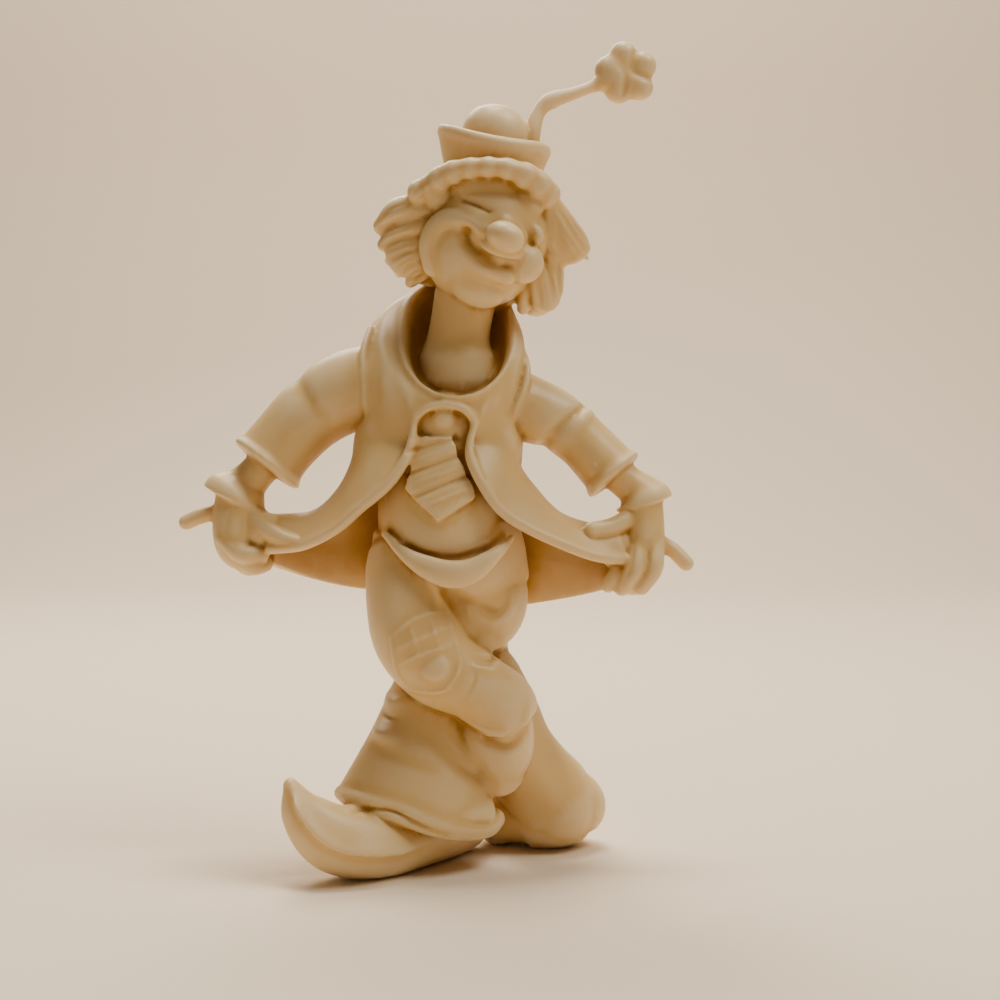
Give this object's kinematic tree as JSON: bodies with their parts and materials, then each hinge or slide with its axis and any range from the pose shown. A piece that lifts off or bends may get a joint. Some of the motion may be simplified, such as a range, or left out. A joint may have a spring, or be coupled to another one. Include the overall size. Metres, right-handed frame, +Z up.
{
  "type": "clown figurine",
  "caption": "Standing clown figurine moulded in ivory plastic, with a small round hat, a flower on a stem, a striped tie, crossed baggy legs and a tailcoat held out by both hands",
  "frame": {"origin": "on the ground, under the middle of the figure's box", "axes": "+Z up along the figure's height, the clown faces -Y, +X to the viewer's right"},
  "size_m": [0.046, 0.0204, 0.0742],
  "materials": {
    "ivory_plastic": "satin, slightly translucent"
  },
  "bodies": {
    "root": {"clown": "ivory_plastic"}
  },
  "joints": []
}
